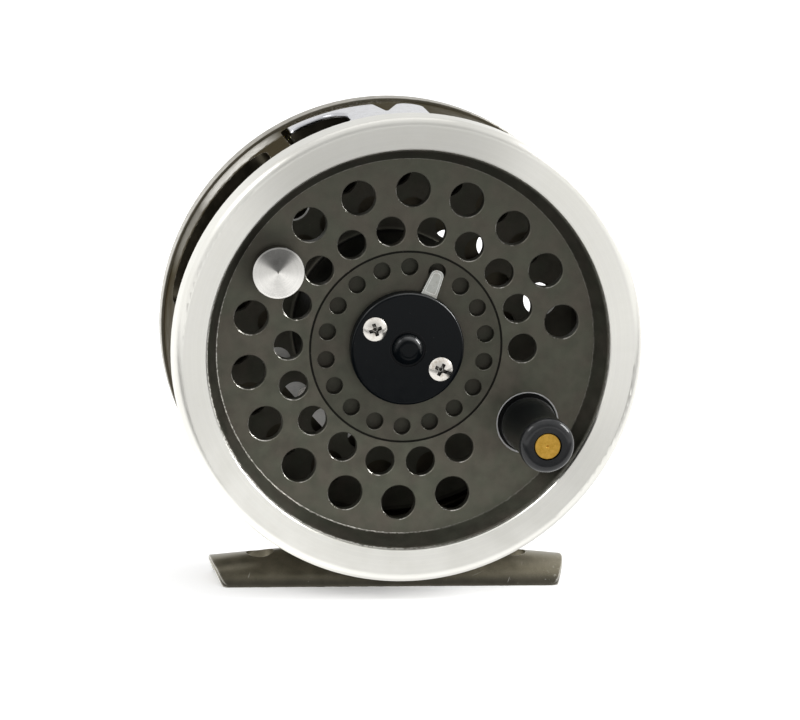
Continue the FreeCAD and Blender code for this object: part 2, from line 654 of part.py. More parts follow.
def make_check_plate():
    """Stamped plate over the pawl, held on three bosses."""
    inner = 11.2
    blank = plate([(inner, -11.8, 2), (CHECK_PLATE_EDGE, -11.8, 2), (CHECK_PLATE_EDGE, 11.8, 2),
                   (inner, 11.8, 2)], CHECK_PLATE_FRONT, CHECK_PLATE_BACK)
    front, back = CHECK_PLATE_FRONT - 1, CHECK_PLATE_BACK + 1
    holes = [rod(PAWL_POST, front, back, PAWL_OUT, 0), rod(PAWL_POST, front, back, *SPRING_POST),
             rod(1.05, front, back, CAM_OUT, CAM_SIDE)]
    return around(blank.cut(holes + check_screws(slot=False)), CHECK_ANGLE)


def make_check_plate_screws():
    return around(Part.makeCompound(check_screws(slot=True)), CHECK_ANGLE)


def make_pawl_post():
    """Shouldered post for the pawl, riveted in the back plate."""
    post = turned([(0, CHECK_PLATE_FRONT), (PAWL_POST, CHECK_PLATE_FRONT),
                   (PAWL_POST, GEAR_BACK + 0.1), (2.0, GEAR_BACK + 0.1), (2.0, PLATE_FRONT),
                   (PAWL_POST, PLATE_FRONT), (PAWL_POST, PLATE_BACK - 0.5), (0, PLATE_BACK - 0.5)])
    return around(moved(post, PAWL_OUT, 0, 0), CHECK_ANGLE)


def make_spring_post():
    """Plain post that anchors the pawl spring."""
    post = rod(PAWL_POST, CHECK_PLATE_FRONT, PLATE_BACK - 0.5, *SPRING_POST)
    return around(post, CHECK_ANGLE)


def make_click_pawl():
    """Symmetrical pawl, its nose in a tooth gap and its flat tail on the spring."""
    body = plate([(8.6, -0.25), (9.6, -0.55), (12.6, -2.0), (PAWL_OUT, -2.6, 1.5), (17.0, -2.2),
                  (17.0, 2.2), (PAWL_OUT, 2.6, 1.5), (12.6, 2.0), (9.6, 0.55), (8.6, 0.25)],
                 GEAR_FRONT, GEAR_BACK)
    bore = rod(PAWL_POST + 0.05, GEAR_FRONT - 1, GEAR_BACK + 1, PAWL_OUT, 0)
    return around(body.cut(bore), CHECK_ANGLE)


def make_pawl_spring():
    """Leaf spring across the pawl's tail, with an eye round its post."""
    thickness, clear = 0.4, 0.25
    near = 17.0 + clear
    front, back = GEAR_FRONT + 0.2, GEAR_BACK - 0.2
    out, side = SPRING_POST
    eye = rod(out - near, front, back, out, side).cut(rod(PAWL_POST, front - 1, back + 1, out, side))
    leaf = Part.makeBox(thickness, back - front, side + 9.5, Vec(near, front, -9.5))
    leaf = leaf.cut(rod(PAWL_POST, front - 1, back + 1, out, side))
    return around(eye.fuse(leaf).removeSplitter(), CHECK_ANGLE)


def make_drag_cam():
    """Eccentric that loads the pawl spring, on a shaft through the back plate."""
    offset, disc = 0.4, 1.7
    cam = rod(disc, GEAR_FRONT + 0.1, GEAR_BACK + 0.4, CAM_OUT + offset, CAM_SIDE)
    stub = rod(1.0, CHECK_PLATE_FRONT, GEAR_FRONT + 0.2, CAM_OUT, CAM_SIDE)
    shaft = rod(CAM_SHAFT, GEAR_BACK, KNOB_BACK - 1.2, CAM_OUT, CAM_SIDE)
    tapped = rod(0.6, KNOB_BACK - 4, KNOB_BACK, CAM_OUT, CAM_SIDE)
    return around(cam.fuse([stub, shaft]).removeSplitter().cut(tapped), CHECK_ANGLE)


def make_drag_knob():
    """Fluted regulator knob with an index notch."""
    knob = turned([(CAM_SHAFT, KNOB_FRONT), (KNOB_RADIUS, KNOB_FRONT, 0.3),
                   (KNOB_RADIUS, KNOB_BACK, 1.0), (1.9, KNOB_BACK), (1.9, KNOB_BACK - 1.2),
                   (CAM_SHAFT, KNOB_BACK - 1.2)])
    flutes = [at(rod(0.45, KNOB_FRONT + 0.8, KNOB_BACK + 1), KNOB_RADIUS + 0.15, 15 * turn)
              for turn in range(24)]
    notch = Part.makeBox(2.2, 1, 0.6, Vec(2.6, KNOB_BACK - 0.3, -0.3))
    knob = moved(knob.cut(flutes + [notch]), CAM_OUT, 0, CAM_SIDE)
    return around(knob, CHECK_ANGLE)


def make_drag_knob_screw():
    """Cheese-head screw that holds the knob on its shaft."""
    seat = KNOB_BACK - 1.2
    screw = rod(1.75, seat, KNOB_BACK - 0.1).fuse(rod(0.6, KNOB_BACK - 4, seat))
    screw = screw.cut(Part.makeBox(4, 0.5, 0.45, Vec(-2, KNOB_BACK - 0.6, -0.22)))
    return around(moved(screw, CAM_OUT, 0, CAM_SIDE), CHECK_ANGLE)


PIECES = {
    "frame_cage": make_frame_cage,
    "reel_foot": make_reel_foot,
    "foot_screws": make_foot_screws,
    "line_guard": make_line_guard,
    "line_guard_screws": make_line_guard_screws,
    "spindle": make_spindle,
    "spindle_nut": make_spindle_nut,
    "spindle_circlip": make_spindle_circlip,
    "thrust_washer": make_thrust_washer,
    "check_plate": make_check_plate,
    "check_plate_screws": make_check_plate_screws,
    "pawl_post": make_pawl_post,
    "spring_post": make_spring_post,
    "pawl_spring": make_pawl_spring,
    "click_pawl": make_click_pawl,
    "click_gear": make_click_gear,
    "drive_pins": make_drive_pins,
    "spool": make_spool,
    "spool_bushes": make_spool_bushes,
    "counterweight": make_counterweight,
    "hub_cover": make_hub_cover,
    "hub_cover_screws": make_hub_cover_screws,
    "latch_lever": make_latch_lever,
    "latch_spring": make_latch_spring,
    "handle_pin": make_handle_pin,
    "handle_washer": make_handle_washer,
    "handle_knob": make_handle_knob,
    "drag_cam": make_drag_cam,
    "drag_knob": make_drag_knob,
    "drag_knob_screw": make_drag_knob_screw,
}

for node, make in PIECES.items():
    make().exportStep("parts/" + node + ".step")
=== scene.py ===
import math

import bpy
from mathutils import Matrix, Vector


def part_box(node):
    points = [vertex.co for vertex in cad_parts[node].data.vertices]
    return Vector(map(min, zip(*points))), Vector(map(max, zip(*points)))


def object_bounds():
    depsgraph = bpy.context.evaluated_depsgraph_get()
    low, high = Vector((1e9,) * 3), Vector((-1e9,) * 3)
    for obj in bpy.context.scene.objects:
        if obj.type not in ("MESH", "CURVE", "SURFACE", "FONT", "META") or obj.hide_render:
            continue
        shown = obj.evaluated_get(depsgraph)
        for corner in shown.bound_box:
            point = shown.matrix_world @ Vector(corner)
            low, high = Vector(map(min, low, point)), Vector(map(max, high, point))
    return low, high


# Looks of the fly reel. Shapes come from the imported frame; materials are node graphs.
# Millimetres are used inside the materials, metres everywhere else.
# Angles are degrees counter-clockwise from +X, seen from the handle side.

MM = 0.001
WHITE = (1, 1, 1, 1)

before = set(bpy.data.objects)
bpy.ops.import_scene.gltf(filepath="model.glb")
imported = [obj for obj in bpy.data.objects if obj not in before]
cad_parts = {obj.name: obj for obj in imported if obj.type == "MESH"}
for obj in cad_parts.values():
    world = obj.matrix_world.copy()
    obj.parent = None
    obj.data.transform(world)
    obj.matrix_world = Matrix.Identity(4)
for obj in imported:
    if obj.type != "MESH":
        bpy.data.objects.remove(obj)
cad_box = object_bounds()


class Shader:
    """One material's node graph, with short calls for the nodes it uses."""

    def __init__(self, name):
        self.material = bpy.data.materials.new(name)
        self.material.use_nodes = True
        self.tree = self.material.node_tree
        self.tree.nodes.clear()
        coordinates = self.add("ShaderNodeTexCoord")
        self.place = self.vector("SCALE", coordinates.outputs["Object"], scale=1 / MM)
        self.x, self.y, self.z = self.parts(self.place)

    def add(self, kind, **settings):
        """A new node with some of its settings."""
        node = self.tree.nodes.new(kind)
        for key, value in settings.items():
            setattr(node, key, value)
        return node

    def feed(self, socket, source):
        """Links a node's output to a socket, or sets the socket to a plain value."""
        if isinstance(source, bpy.types.NodeSocket):
            self.tree.links.new(source, socket)
        elif source is not None:
            socket.default_value = source

    def math(self, operation, a, b=None):
        """Sum, product or another operation on one or two numbers."""
        node = self.add("ShaderNodeMath", operation=operation)
        self.feed(node.inputs[0], a)
        self.feed(node.inputs[1], b)
        return node.outputs[0]

    def product(self, *factors):
        """Numbers multiplied together."""
        result = factors[0]
        for factor in factors[1:]:
            result = self.math("MULTIPLY", result, factor)
        return result

    def largest(self, *values):
        """The largest of several numbers."""
        result = values[0]
        for value in values[1:]:
            result = self.math("MAXIMUM", result, value)
        return result

    def vector(self, operation, a, b=None, scale=None):
        """Operation on one or two vectors, giving a vector or, for two operations, a number."""
        node = self.add("ShaderNodeVectorMath", operation=operation)
        self.feed(node.inputs[0], a)
        self.feed(node.inputs[1], b)
        if scale is not None:
            self.feed(node.inputs["Scale"], scale)
        single = operation in ("DOT_PRODUCT", "LENGTH")
        return node.outputs["Value" if single else "Vector"]

    def combine(self, x, y, z):
        """Vector made of three numbers."""
        node = self.add("ShaderNodeCombineXYZ")
        for socket, source in zip(node.inputs, (x, y, z)):
            self.feed(socket, source)
        return node.outputs[0]

    def parts(self, vector):
        """The x, y and z of a vector."""
        node = self.add("ShaderNodeSeparateXYZ")
        self.feed(node.inputs[0], vector)
        return node.outputs

    def noise(self, per_mm, detail=2.0, roughness=0.5, place=None):
        """Soft noise between 0 and 1; per_mm is its frequency."""
        node = self.add("ShaderNodeTexNoise")
        self.feed(node.inputs["Vector"], self.place if place is None else place)
        node.inputs["Scale"].default_value = per_mm
        node.inputs["Detail"].default_value = detail
        node.inputs["Roughness"].default_value = roughness
        return node.outputs["Fac"]

    def band(self, value, low, high, out_low=0.0, out_high=1.0):
        """Smooth step from out_low to out_high as value goes from low to high."""
        node = self.add("ShaderNodeMapRange", interpolation_type="SMOOTHSTEP")
        for key, source in (("Value", value), ("From Min", low), ("From Max", high),
                            ("To Min", out_low), ("To Max", out_high)):
            self.feed(node.inputs[key], source)
        return node.outputs["Result"]

    def spread(self, value, out_low, out_high):
        """Noise stretched to run between two values."""
        return self.band(value, 0.25, 0.75, out_low, out_high)

    def near(self, value, target, half, soft):
        """1 where value is within half of target, fading over soft."""
        away = self.math("ABSOLUTE", self.math("SUBTRACT", value, target))
        return self.band(away, half + soft, half)

    def mix(self, factor, a, b, blend="MIX"):
        """Colour mix."""
        node = self.add("ShaderNodeMix", data_type="RGBA", blend_type=blend)
        self.feed(node.inputs["Factor"], factor)
        self.feed(node.inputs[6], a)
        self.feed(node.inputs[7], b)
        return node.outputs[2]

    def mix_value(self, factor, a, b):
        """Number mix."""
        node = self.add("ShaderNodeMix", data_type="FLOAT")
        self.feed(node.inputs[0], factor)
        self.feed(node.inputs[2], a)
        self.feed(node.inputs[3], b)
        return node.outputs[0]

    def shade(self, colour, amount):
        """Colour multiplied by a number."""
        return self.mix(1.0, colour, self.combine(amount, amount, amount), "MULTIPLY")

    def about(self, x, z):
        """Offset in the XZ plane from a centre in millimetres, as a vector, and its length."""
        flat = self.vector("MULTIPLY", self.place, (1, 0, 1))
        offset = self.vector("SUBTRACT", flat, (x, 0, z))
        return offset, self.vector("LENGTH", offset)

    def facing(self, degrees, offset):
        """Cosine of the angle between an offset and a direction in the XZ plane."""
        angle = math.radians(degrees)
        unit = self.vector("NORMALIZE", offset)
        return self.vector("DOT_PRODUCT", unit, (math.cos(angle), 0, math.sin(angle)))

    def front_slope(self):
        """How squarely the surface faces the front or the back, from 0 to 1."""
        normal = self.add("ShaderNodeVectorTransform", vector_type="NORMAL",
                          convert_from="WORLD", convert_to="OBJECT")
        self.feed(normal.inputs[0], self.add("ShaderNodeNewGeometry").outputs["True Normal"])
        return self.math("ABSOLUTE", self.parts(normal.outputs[0])[1])

    def edges(self, width, low=0.02, high=0.25):
        """1 on edges and corners, 0 on flats, found by rounding the normal."""
        bevel = self.add("ShaderNodeBevel", samples=6)
        bevel.inputs["Radius"].default_value = width * MM
        smooth = self.add("ShaderNodeNewGeometry").outputs["Normal"]
        alike = self.vector("DOT_PRODUCT", bevel.outputs["Normal"], smooth)
        return self.band(self.math("SUBTRACT", 1.0, alike), low, high)

    def sheltered(self, reach, low, high):
        """1 where less than low of the sky within reach is open, 0 where more than high is."""
        node = self.add("ShaderNodeAmbientOcclusion", samples=8, only_local=True)
        node.inputs["Distance"].default_value = reach * MM
        return self.band(node.outputs["AO"], high, low)

    def broken(self, mask, share, per_mm=0.9):
        """Mask broken up by noise; share is how much of it stays."""
        patches = self.noise(per_mm, 4.0, 0.65)
        return self.product(mask, self.band(patches, 0.72 - 0.5 * share, 0.9 - 0.5 * share))

    def bump(self, height, depth):
        """Normal from a height between 0 and 1; depth in millimetres."""
        node = self.add("ShaderNodeBump")
        node.inputs["Distance"].default_value = depth * MM
        self.feed(node.inputs["Height"], height)
        return node.outputs["Normal"]

    def lathe_tangent(self, offset):
        """World direction of the tool marks on a turned surface."""
        x, _, z = self.parts(offset)
        along = self.combine(self.math("MULTIPLY", z, -1.0), 0.0, x)
        node = self.add("ShaderNodeVectorTransform", vector_type="VECTOR",
                        convert_from="OBJECT", convert_to="WORLD")
        self.feed(node.inputs[0], self.vector("NORMALIZE", along))
        return node.outputs[0]

    def lean(self, degrees):
        """How far the surface leans towards a direction in the XZ plane, from -1 to 1."""
        angle = math.radians(degrees)
        normal = self.add("ShaderNodeNewGeometry").outputs["True Normal"]
        return self.vector("DOT_PRODUCT", normal, (math.cos(angle), 0, math.sin(angle)))

    def surface(self, **inputs):
        """The principled surface, fed by input name."""
        shader = self.add("ShaderNodeBsdfPrincipled")
        for key, source in inputs.items():
            self.feed(shader.inputs[key.replace("_", " ").title().replace("Ior", "IOR")], source)
        output = self.add("ShaderNodeOutputMaterial")
        self.tree.links.new(shader.outputs[0], output.inputs["Surface"])
        return self.material


ACROSS_THE_MARKS = 0.25      # anisotropic rotation: a quarter turn from the tool marks


# ---------------------------------------------------------------- spool

FACE_EDGE = 34.8             # radius of the perforated face
SILVER_EDGE = 37.08          # radius where the bare rim band starts
ROUNDING = (42.0, 42.7)      # radii across the rim's rounded outer edge
CONE_FOOT = -3.3             # y close to where the cone meets the rim band
GROOVE = 17.65               # radius of the engraved circle
SEAT_RADIUS = 5.5            # recess under the handle
BLIND_EDGE = GROOVE - 1.0    # radius inside which the small holes are blind
CHAMFER = 0.707              # front slope of a 45 degree chamfer

OLIVE = ((0.122, 0.124, 0.095, 1), (0.134, 0.122, 0.098, 1))
BARE = ((0.84, 0.83, 0.772, 1), (0.89, 0.88, 0.828, 1))
WORN_METAL = (0.80, 0.78, 0.72, 1)
SEAT_BLACK = (0.012, 0.012, 0.012, 1)
PALE_SPECK = (0.42, 0.42, 0.38, 1)
TAN_MARK = (0.5, 0.45, 0.36, 1)


def middle_of(node):
    """Centre of a node's box in millimetres."""
    low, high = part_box(node)
    return (low + high) / 2 / MM


def spool_face(s, radius, grain, cloud):
    """Olive-grey colour of the inner part, with painted shade towards the top, beside the
    counterweight and in the holes, and darker in the groove and seat.
    """
    tint = s.noise(0.22, 2.0, 0.5, s.vector("ADD", s.place, (31, 7, 19)))
    olive = s.mix(s.spread(tint, 0, 1), *OLIVE)
    olive = s.shade(olive, s.spread(cloud, 0.86, 1.12))
    olive = s.shade(olive, s.spread(grain, 0.84, 1.16))
    # painted shade: the face gets darker towards the top
    olive = s.shade(olive, s.band(s.z, -40.0, 38.0, 0.90, 0.66))
    cone = s.band(radius, FACE_EDGE - 0.1, FACE_EDGE + 0.15)
    olive = s.shade(olive, s.mix_value(cone, 1.0, 0.62))
    # painted shadow of the counterweight on the face
    weight = middle_of("counterweight")
    _, shadow_distance = s.about(weight.x - 2.2, weight.z + 2.4)    # painted shadow, centred up and left of it
    olive = s.shade(olive, s.band(shadow_distance, 3.5, 7.5, 0.62, 1.0))
    hub = s.band(radius, GROOVE + 0.3, GROOVE - 0.3)
    olive = s.shade(olive, s.mix_value(hub, 1.0, 0.80))
    # painted shade on the floors of the blind holes and deeper inside the through holes
    blind_hole_shade = s.product(s.band(s.y, 0.1, 0.3), s.band(radius, BLIND_EDGE + 0.2, BLIND_EDGE - 0.2))
    olive = s.shade(olive, s.mix_value(blind_hole_shade, 1.0, 0.80))
    hole_shade = s.band(s.y, 0.25, 1.2)
    olive = s.shade(olive, s.mix_value(hole_shade, 1.0, 0.74))
    groove = s.product(s.near(radius, GROOVE, 0.2, 0.12), s.band(s.y, 0.03, 0.12))
    return s.shade(olive, s.mix_value(groove, 1.0, 0.15))


def spool_wear_and_glints(s, offset, radius):
    """Where the finish is rubbed through on the hole rims and the two edges beside the cone, kept
    where those edges catch the light as painted glints.
    """
    slope = s.front_slope()
    bevels = s.product(s.near(slope, CHAMFER, 0.1, 0.08), s.near(s.y, 0.1, 0.25, 0.05))
    # painted glints: hole chamfers keep their wear mostly where they lean towards the upper right
    lit_glint = s.band(s.lean(45), 0.05, 0.6)
    kept = s.band(s.noise(0.55, 3.0, 0.6), 0.44, 0.60)
    outside = s.band(radius, BLIND_EDGE - 0.2, BLIND_EDGE + 0.2, 0.25, 1.0)
    holes = s.product(bevels, s.mix_value(s.product(lit_glint, kept), 0.04, 0.8), outside)
    # painted glints: the edge lines beside the cone are kept mostly at the lower left
    lower_left_glint = s.band(s.facing(221, offset), 0.35, 0.95, 0.10, 1.0)
    nicks = s.mix_value(s.band(s.noise(1.6, 3.0, 0.6), 0.36, 0.56), 0.25, 1.0)
    wander = s.math("ADD", radius, s.spread(s.noise(1.1, 3.0, 0.6), -0.08, 0.08))
    face_line = s.product(s.near(wander, FACE_EDGE, 0.05, 0.09), s.near(s.y, 0.0, 0.25, 0.1))
    foot_line = s.product(s.near(wander, SILVER_EDGE - 0.1, 0.08, 0.1),
                          s.near(s.y, CONE_FOOT, 0.25, 0.1))
    lines = s.product(s.math("MAXIMUM", face_line, foot_line), lower_left_glint, nicks)
    inside = s.band(radius, SILVER_EDGE, SILVER_EDGE - 0.05)
    return s.product(s.math("MAXIMUM", holes, lines), inside)


def spool_seat(s):
    """Masks of the handle seat: its black floor and the bare bevel round it, which is painted
    white as a highlight.
    """
    centre = middle_of("handle_washer")
    _, away = s.about(centre.x, centre.z)
    floor = s.product(s.band(away, SEAT_RADIUS + 0.06, SEAT_RADIUS - 0.02), s.band(s.y, 0.05, 0.2))
    bevel = s.product(s.near(away, SEAT_RADIUS + 0.15, 0.10, 0.03), s.near(s.y, 0.12, 0.14, 0.05))
    return floor, bevel


def bare_rim(s, offset, radius, smudge):
    """Colour of the bare turned rim, with painted shade at the top and under its rounded edge, and
    a painted sheen at the lower left.
    """
    rings = s.noise(4.0, 3.0, 0.6, s.combine(radius, s.y, 0.0))
    marks = s.band(s.noise(3.4, 2.0, 0.5), 0.76, 0.8)
    bare = s.mix(s.spread(smudge, 0, 1), *BARE)
    bare = s.shade(bare, s.spread(rings, 0.98, 1.015))
    # painted shade over the top of the rim, painted sheen at its lower left
    bare = s.shade(bare, s.band(s.facing(100, offset), 0.70, 0.95, 1.0, 0.74))
    bare = s.shade(bare, s.band(s.facing(229, offset), 0.80, 1.0, 1.0, 1.12))
    # painted shade on the underside of the rounded outer edge
    underside_shade = s.product(s.band(s.facing(285, offset), 0.6, 0.95), s.band(radius, *ROUNDING))
    bare = s.shade(bare, s.mix_value(underside_shade, 1.0, 0.74))
    return s.mix(s.math("MULTIPLY", marks, 0.35), bare, TAN_MARK)


def spool_material():
    """Satin olive-grey finish inside, bare turned metal on the rim."""
    s = Shader("spool_finish")
    offset, radius = s.about(0, 0)
    grain = s.noise(9.0, 3.0, 0.6)
    cloud = s.noise(0.35, 3.0, 0.55)
    olive = spool_face(s, radius, grain, cloud)
    specks = s.band(s.noise(2.6, 2.0, 0.5), 0.75, 0.79)
    olive = s.mix(s.math("MULTIPLY", specks, 0.3), olive, PALE_SPECK)
    seat_floor, seat_bevel_glint = spool_seat(s)
    olive = s.mix(seat_floor, olive, SEAT_BLACK)
    # rubbed edges with painted glints, and the seat bevel painted white as a highlight
    worn = s.largest(spool_wear_and_glints(s, offset, radius), seat_bevel_glint)
    olive = s.mix(worn, olive, s.mix(seat_bevel_glint, WORN_METAL, WHITE))
    metal = s.mix_value(seat_bevel_glint, s.mix_value(worn, 0.88, 1.0), 0.15)

    smudge = s.noise(0.16, 3.0, 0.6)
    bare = bare_rim(s, offset, radius, smudge)
    silver = s.band(radius, SILVER_EDGE - 0.03, SILVER_EDGE + 0.03)
    rough_bare = s.spread(smudge, 0.285, 0.35)
    rough_olive = s.mix_value(worn, s.spread(cloud, 0.42, 0.52), 0.24)
    return s.surface(base_color=s.mix(silver, olive, bare),
                     metallic=s.mix_value(silver, metal, 1.0),
                     roughness=s.mix_value(silver, rough_olive, rough_bare),
                     anisotropic=s.math("MULTIPLY", silver, 0.72),
                     anisotropic_rotation=ACROSS_THE_MARKS,
                     tangent=s.lathe_tangent(offset),
                     normal=s.bump(s.mix_value(silver, grain, 0.0), 0.003))


# ---------------------------------------------------------------- frame and foot

BAND_START = 24.8            # y where the cage's thicker rear band starts
BAND_STEP = (41.4, 41.6)     # radii across that band's step out from the wall
OUTER_WALL = (40.9, 41.1)    # radii between the inside and the outside of the wall
STRIP = (18.6, 24.2)         # y range of the worn strip, painted brighter as a highlight, in front of that band
GRAZING_GREY = (0.35, 0.33, 0.28, 1)    # what the finish reflects at grazing angles
FRAME_TONES = ((0.056, 0.051, 0.036, 1), (0.074, 0.064, 0.046, 1))
FOOT_TONES = ((0.080, 0.073, 0.052, 1), (0.112, 0.101, 0.074, 1))


def anodised(s, tones):
    """Colour and fine grain of the brown-olive finish."""
    grain = s.noise(7.0, 3.0, 0.6)
    cloud = s.noise(0.28, 4.0, 0.6)
    colour = s.mix(s.spread(cloud, 0, 1), *tones)
    return s.shade(colour, s.spread(grain, 0.86, 1.14)), grain, cloud


def hairlines(s, per_mm, limit, turn, stretch):
    """A few thin straight marks along one direction."""
    spin = s.add("ShaderNodeVectorRotate", rotation_type="Y_AXIS")
    s.feed(spin.inputs["Vector"], s.place)
    spin.inputs["Angle"].default_value = turn
    squeezed = s.vector("MULTIPLY", spin.outputs[0], (1.0 / stretch, 1.0 / stretch, 1.0))
    return s.band(s.noise(per_mm, 1.0, 0.4, squeezed), limit, limit + 0.03)


def cage_material():
    """Brown-olive cage, rubbed bright along the wall in front of its rear band, with painted
    highlight on that strip towards the upper left and painted reflection on the rear band towards
    the left.
    """
    s = Shader("cage_finish")
    colour, grain, cloud = anodised(s, FRAME_TONES)
    offset, radius = s.about(0, 0)
    rear_band = s.product(s.band(s.y, BAND_START - 0.1, BAND_START + 0.1),
                          s.band(radius, *BAND_STEP))
    streaks = s.noise(2.6, 4.0, 0.7, s.vector("MULTIPLY", s.place, (0.3, 1, 0.3)))
    wall = s.band(radius, *OUTER_WALL)
    ragged = s.math("ADD", s.y, s.spread(streaks, -0.7, 0.7))
    strip = s.product(s.band(ragged, STRIP[0] - 0.4, STRIP[0] + 0.9),
                      s.band(s.y, STRIP[1], STRIP[1] - 0.3), wall)
    # painted highlight: the worn strip is brightest where it faces the upper left
    painted_highlight = s.band(s.facing(136, offset), 0.955, 0.998)
    fainter_highlight = s.band(s.facing(147, offset), 0.93, 0.99, 0.0, 0.36)
    strip = s.product(strip, s.math("MAXIMUM", painted_highlight, fainter_highlight), s.spread(streaks, 0.6, 1.0))
    chips = s.product(s.band(s.noise(3.2, 4.0, 0.7), 0.52, 0.62, 0.0, 0.42),
                      s.band(s.facing(102, offset), 0.93, 0.98), s.band(s.y, 21.0, 22.0),
                      s.band(s.y, STRIP[1] + 0.6, STRIP[1]), wall)
    edge = s.broken(s.edges(0.3), 0.5)
    # painted reflection: the rubbed rear band is brighter towards the left
    left = s.band(s.facing(170, offset), 0.7, 1.0, 1.0, 1.5)
    rubbed = s.product(rear_band, s.spread(s.noise(0.9, 3.0, 0.5), 0.42, 0.56), left)
    worn = s.largest(strip, chips, s.math("MULTIPLY", edge, 0.7), rubbed)
    colour = s.mix(worn, colour, WORN_METAL)
    roughness = s.mix_value(worn, s.spread(cloud, 0.30, 0.42), 0.36)
    tint = s.mix(worn, GRAZING_GREY, WHITE)
    return s.surface(base_color=colour, metallic=0.95, roughness=roughness, specular_tint=tint,
                     normal=s.bump(grain, 0.003))


def foot_material():
    """Brown-olive foot, with painted light making its upper part lighter, rubbed and speckled
    towards its right end.
    """
    s = Shader("foot_finish")
    colour, grain, cloud = anodised(s, FOOT_TONES)
    # painted light: lighter towards the top and darker towards the floor; also a little brighter
    # towards the right
    colour = s.shade(colour, s.band(s.z, -45.8, -43.2, 0.50, 2.1))
    colour = s.shade(colour, s.band(s.x, 5.0, 22.0, 1.0, 1.12))
    end = s.band(s.x, 25.0, 33.0)
    specks = s.band(s.noise(1.5, 3.0, 0.6), s.mix_value(end, 0.70, 0.56),
                    s.mix_value(end, 0.78, 0.72))
    low = s.band(s.z, -43.5, -46.0, 0.3, 1.0)
    specks = s.product(specks, s.mix_value(end, 0.25, 0.6), low)
    lines = s.largest(hairlines(s, 1.5, 0.74, 0.35, 14.0), hairlines(s, 1.9, 0.75, 1.2, 10.0))
    tips = s.product(s.edges(0.6, 0.01, 0.12), s.band(s.math("ABSOLUTE", s.x), 30.0, 32.0))
    edge = s.math("MAXIMUM", s.broken(s.edges(0.22), 0.75, 0.5), tips)
    worn = s.largest(specks, s.math("MULTIPLY", lines, 0.25), s.math("MULTIPLY", edge, 0.85))
    colour = s.mix(worn, colour, WORN_METAL)
    roughness = s.mix_value(worn, s.spread(cloud, 0.28, 0.40), 0.3)
    return s.surface(base_color=colour, metallic=0.75, roughness=roughness,
                     normal=s.bump(grain, 0.004))


# ---------------------------------------------------------------- moulded, plated and turned parts

BLACKS = ((0.0018, 0.0027, 0.0036, 1), (0.0036, 0.0045, 0.0052, 1))
LIP_GREYS = ((0.009, 0.010, 0.011, 1), (0.016, 0.016, 0.017, 1))
RUBBED_BLACK = (0.045, 0.046, 0.05, 1)
DUST = (0.25, 0.24, 0.22, 1)


def painted_moulding_gloss(s):
    """Strength of reflection painted by direction: painted shade on what faces up, painted glints
    on slopes towards the upper corners.
    """
    slope = s.front_slope()
    flat = s.product(s.band(s.lean(90), -0.3, 0.7, 0.40, 0.12), s.band(slope, 0.0, 0.6, 0.68, 1.0))
    rounded = s.product(s.band(slope, 0.985, 0.9), s.band(slope, 0.05, 0.2))
    painted_glints = s.math("ADD", s.product(s.band(s.lean(52), 0.20, 0.60), 3.4),
                    s.product(s.band(s.lean(125), 0.25, 0.60), 0.9))
    return s.mix_value(rounded, flat, painted_glints)


def moulding_material(name, lip=None):
    """Black moulded plastic, slightly handled; lip is the y range of a glossy front edge."""
    s = Shader(name)
    grain = s.noise(5.0, 3.0, 0.6)
    handled = s.noise(0.5, 4.0, 0.6)
    colour = s.mix(s.spread(handled, 0, 1), *BLACKS)
    edge = s.broken(s.edges(0.25), 0.8, 1.5)
    colour = s.mix(s.math("MULTIPLY", edge, 0.25), colour, RUBBED_BLACK)
    dust = s.band(s.noise(3.1, 1.0, 0.5), 0.77, 0.81)
    colour = s.mix(s.math("MULTIPLY", dust, 0.1), colour, DUST)
    # reflection strength with painted glints and painted shade
    gloss = painted_moulding_gloss(s)
    roughness = s.spread(handled, 0.17, 0.25)
    if lip:
        front = s.band(s.y, lip[1], lip[0])
        colour = s.mix(front, colour, s.mix(s.spread(handled, 0, 1), *LIP_GREYS))
        gloss = s.mix_value(front, gloss, 1.3)
        roughness = s.mix_value(front, roughness, 0.14)
    return s.surface(base_color=colour, roughness=roughness, ior=1.25,
                     specular_ior_level=gloss, normal=s.bump(grain, 0.0002))


DULLED = (0.20, 0.19, 0.17, 1)
POLISHED = (0.95, 0.95, 0.93, 1)
STAIN = (0.34, 0.26, 0.18, 1)
PIT = (0.16, 0.14, 0.12, 1)
SHADED_BAR = (0.050, 0.046, 0.034, 1)
SHADED_BAR_TINT = (0.16, 0.15, 0.12, 1)
RECESS_SHADE = (0.010, 0.009, 0.008, 1)
SHADE_HALF = 6.0              # half the angle over which the plating is painted dark as shade


